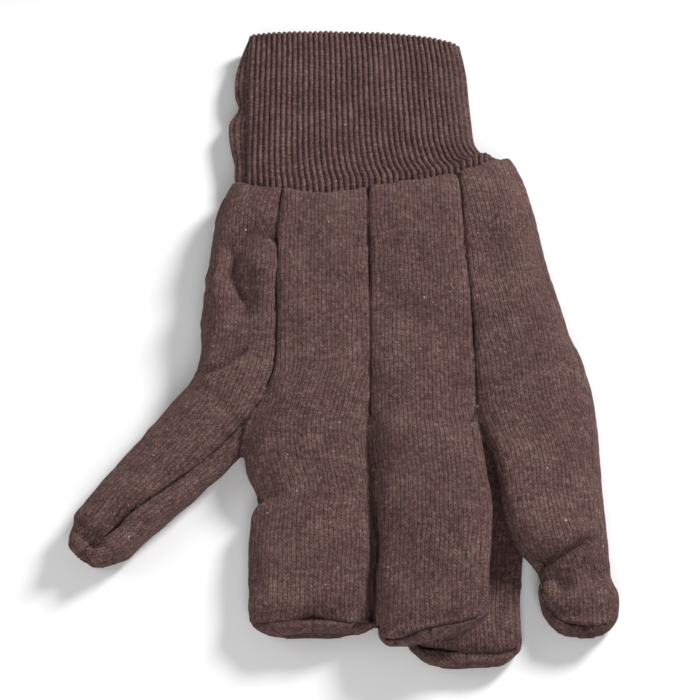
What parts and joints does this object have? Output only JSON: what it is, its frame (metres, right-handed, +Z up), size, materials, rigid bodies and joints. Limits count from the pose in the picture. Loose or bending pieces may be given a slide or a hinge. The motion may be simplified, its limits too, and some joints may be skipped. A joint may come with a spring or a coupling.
{
  "type": "cotton work glove",
  "caption": "Brown cotton jersey work glove, hollow, with a back of sewn strips and a long rib-knit cuff, lying palm down.",
  "frame": {"origin": "middle of the glove's outline, on the surface that it lies on", "axes": "+X from the thumb side to the little-finger side, +Y from the fingertips to the cuff, +Z up from the palm to the back of the hand"},
  "size_m": [0.187, 0.2672, 0.0234],
  "materials": {
    "jersey": "matte brushed jersey",
    "rib_knit": "matte rib knit"
  },
  "bodies": {
    "root": {"knit_cuff": "rib_knit", "palm_panel": "jersey", "thumb_strip": "jersey", "index_strip": "jersey", "middle_strip": "jersey", "ring_strip": "jersey", "little_strip": "jersey"}
  },
  "joints": []
}
